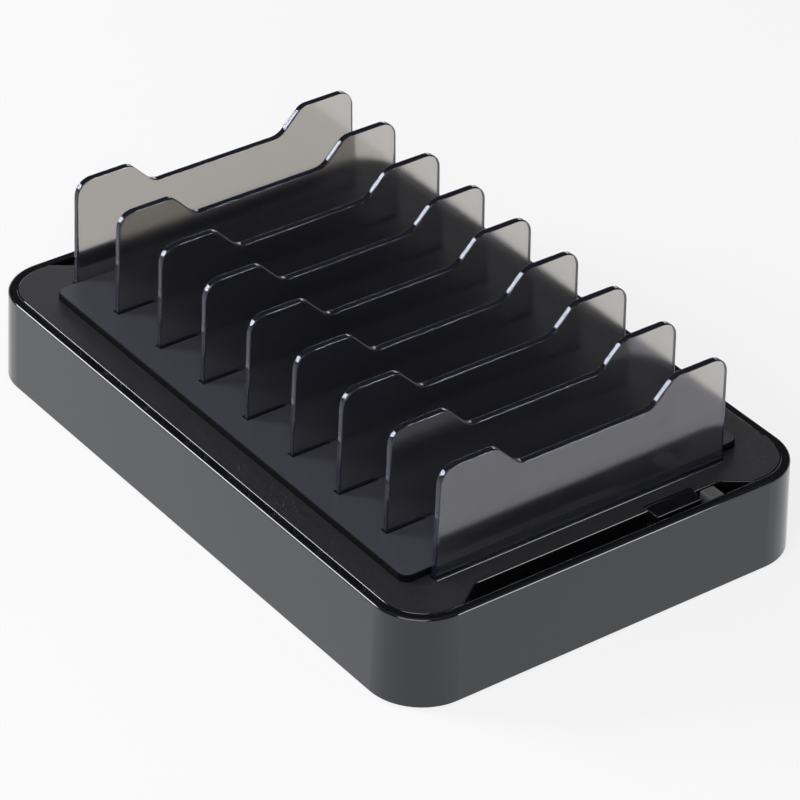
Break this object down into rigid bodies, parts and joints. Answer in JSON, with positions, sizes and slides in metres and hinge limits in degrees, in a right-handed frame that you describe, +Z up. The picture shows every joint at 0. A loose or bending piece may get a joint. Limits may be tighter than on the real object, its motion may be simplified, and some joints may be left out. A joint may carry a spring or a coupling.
{
  "type": "charging station organizer",
  "caption": "Low gloss base with a matte raised deck and a row of clear lift-out dividers that park phones and tablets on edge, with charging ports along one side wall.",
  "frame": {"origin": "on the table, under the middle of the base", "axes": "+X along the dividers towards the wall with the charging ports, +Y along the row of dividers towards the rear end with the mains inlet, +Z up"},
  "size_m": [0.1548, 0.2318, 0.0707],
  "materials": {
    "shell_gloss": "high gloss",
    "plate_matte": "fine matte texture",
    "deck_matte": "fine matte texture",
    "smoked_clear": "clear, smoke tinted",
    "cover_plastic": "matte",
    "foot_rubber": "matte",
    "screw_steel": "zinc plated",
    "key_plastic": "satin",
    "light_guide": "milky",
    "lamp": "clear",
    "switch_plastic": "matte",
    "plunger_plastic": "matte",
    "bezel_plastic": "fine matte texture",
    "socket_steel": "nickel plated",
    "tongue_plastic": "matte",
    "contact_metal": "gold plated",
    "circuit_board": "satin solder mask",
    "chip_plastic": "matte",
    "insulator": "matte",
    "fuse_glass": "clear",
    "choke_wire": "enamelled",
    "capacitor_box": "gloss",
    "capacitor_sleeve": "shrunk sleeve",
    "ferrite": "matte",
    "winding_tape": "taped",
    "sink_aluminium": "extruded",
    "inlet_plastic": "matte",
    "pin_brass": "plated",
    "lead_brown": "insulation",
    "lead_blue": "insulation",
    "lead_red": "insulation",
    "lead_black": "insulation",
    "lead_grey": "insulation"
  },
  "bodies": {
    "housing": {"outer_shell": "shell_gloss", "bottom_cover": "cover_plastic", "rubber_feet": "foot_rubber", "cover_screws": "screw_steel", "top_plate": "plate_matte", "divider_deck": "deck_matte", "switch_case": "switch_plastic", "switch_board": "circuit_board", "status_light": "light_guide", "status_led": "lamp", "port_bezel": "bezel_plastic", "usb_tongues": "tongue_plastic", "usb_contacts": "contact_metal", "usb_board": "circuit_board", "port_chips": "chip_plastic", "supply_board": "circuit_board", "insulating_sheet": "insulator", "fuse_tube": "fuse_glass", "fuse_caps": "screw_steel", "line_choke": "choke_wire", "filter_capacitor": "capacitor_box", "bulk_capacitor": "capacitor_sleeve", "output_capacitors": "capacitor_sleeve", "transformer_core": "ferrite", "transformer_winding": "winding_tape", "heat_sinks": "sink_aluminium", "power_transistors": "chip_plastic", "board_screws": "screw_steel", "mains_inlet": "inlet_plastic", "inlet_pins": "pin_brass", "live_lead": "lead_brown", "neutral_lead": "lead_blue", "positive_lead": "lead_red", "negative_lead": "lead_black", "switch_leads": "lead_grey", "usb_socket_01": "socket_steel", "usb_socket_02": "socket_steel", "usb_socket_03": "socket_steel", "usb_socket_04": "socket_steel", "usb_socket_05": "socket_steel", "usb_socket_06": "socket_steel", "usb_socket_07": "socket_steel", "usb_socket_08": "socket_steel", "usb_socket_09": "socket_steel", "usb_socket_10": "socket_steel"},
    "divider_1": {"divider_1": "smoked_clear"},
    "divider_2": {"divider_2": "smoked_clear"},
    "divider_3": {"divider_3": "smoked_clear"},
    "divider_4": {"divider_4": "smoked_clear"},
    "divider_5": {"divider_5": "smoked_clear"},
    "divider_6": {"divider_6": "smoked_clear"},
    "divider_7": {"divider_7": "smoked_clear"},
    "divider_8": {"divider_8": "smoked_clear"},
    "divider_9": {"divider_9": "smoked_clear"},
    "power_key": {"power_key": "key_plastic", "switch_plunger": "plunger_plastic"}
  },
  "joints": [
    {"name": "divider_1_lift", "type": "slide", "parent": "housing", "child": "divider_1", "axis": [0, 0, 1], "range_m": [0, 0.045]},
    {"name": "divider_2_lift", "type": "slide", "parent": "housing", "child": "divider_2", "axis": [0, 0, 1], "range_m": [0, 0.045]},
    {"name": "divider_3_lift", "type": "slide", "parent": "housing", "child": "divider_3", "axis": [0, 0, 1], "range_m": [0, 0.045]},
    {"name": "divider_4_lift", "type": "slide", "parent": "housing", "child": "divider_4", "axis": [0, 0, 1], "range_m": [0, 0.045]},
    {"name": "divider_5_lift", "type": "slide", "parent": "housing", "child": "divider_5", "axis": [0, 0, 1], "range_m": [0, 0.045]},
    {"name": "divider_6_lift", "type": "slide", "parent": "housing", "child": "divider_6", "axis": [0, 0, 1], "range_m": [0, 0.045]},
    {"name": "divider_7_lift", "type": "slide", "parent": "housing", "child": "divider_7", "axis": [0, 0, 1], "range_m": [0, 0.045]},
    {"name": "divider_8_lift", "type": "slide", "parent": "housing", "child": "divider_8", "axis": [0, 0, 1], "range_m": [0, 0.045]},
    {"name": "divider_9_lift", "type": "slide", "parent": "housing", "child": "divider_9", "axis": [0, 0, 1], "range_m": [0, 0.045]},
    {"name": "power_key_press", "type": "slide", "parent": "housing", "child": "power_key", "axis": [0, 0, 1], "range_m": [-0.0015, 0], "stiffness_N_per_m": 400, "springref_m": 0.001}
  ]
}
